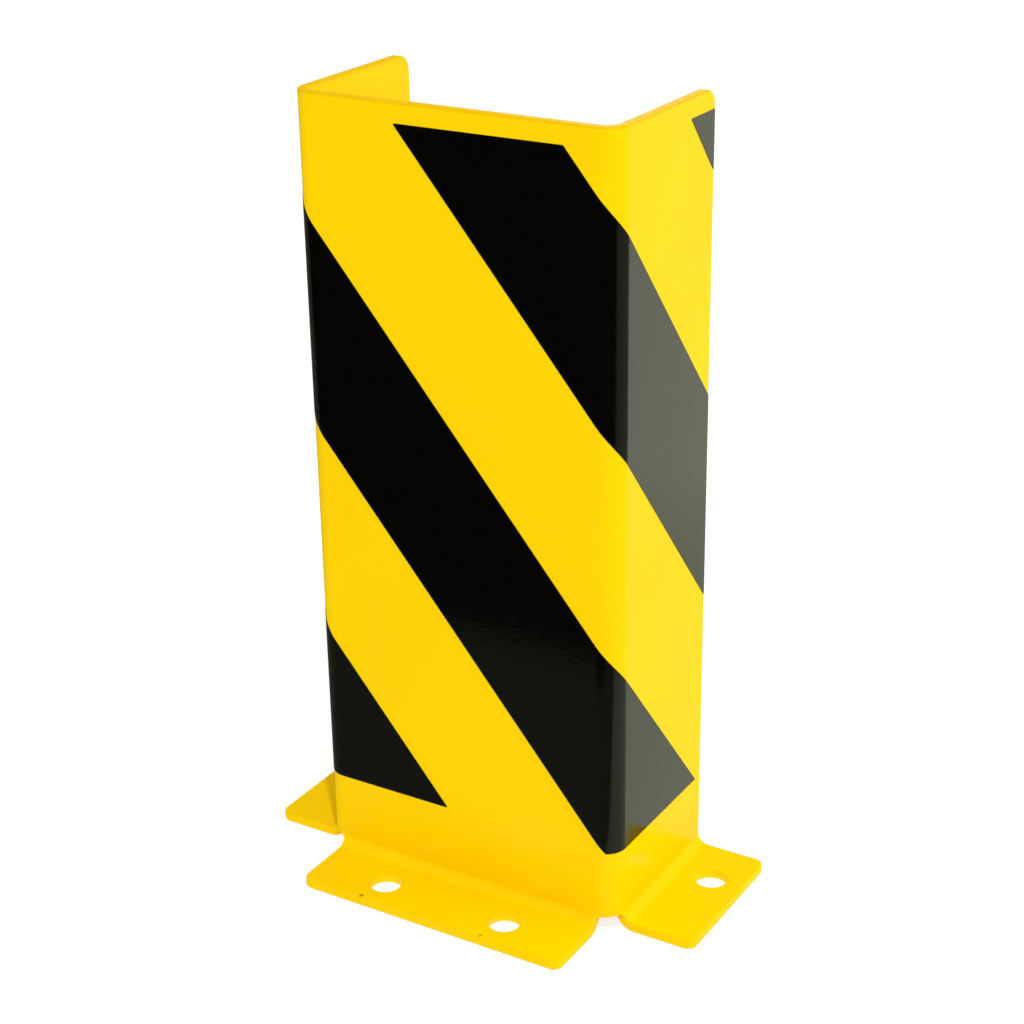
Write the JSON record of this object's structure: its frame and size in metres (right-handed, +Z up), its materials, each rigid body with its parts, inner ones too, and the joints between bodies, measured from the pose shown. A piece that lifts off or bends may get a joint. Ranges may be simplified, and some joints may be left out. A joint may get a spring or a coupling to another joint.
{
  "type": "rack column guard",
  "caption": "U-shaped folded steel guard with hazard stripes and drilled feet bent outwards, bolted to the floor in front of a pallet rack column to take forklift knocks.",
  "frame": {"origin": "middle of the base, on the floor", "axes": "+Z up, front wall facing -Y, open side facing +Y, +X across the guard to the right as seen from the front"},
  "size_m": [0.246, 0.13, 0.4],
  "materials": {
    "powder_coat": "glossy yellow powder coat",
    "stripe_film": "glossy black adhesive film"
  },
  "bodies": {
    "root": {"guard": "powder_coat", "stripe_rear": "stripe_film", "stripe_upper": "stripe_film", "stripe_middle": "stripe_film", "stripe_lower": "stripe_film"}
  },
  "joints": []
}
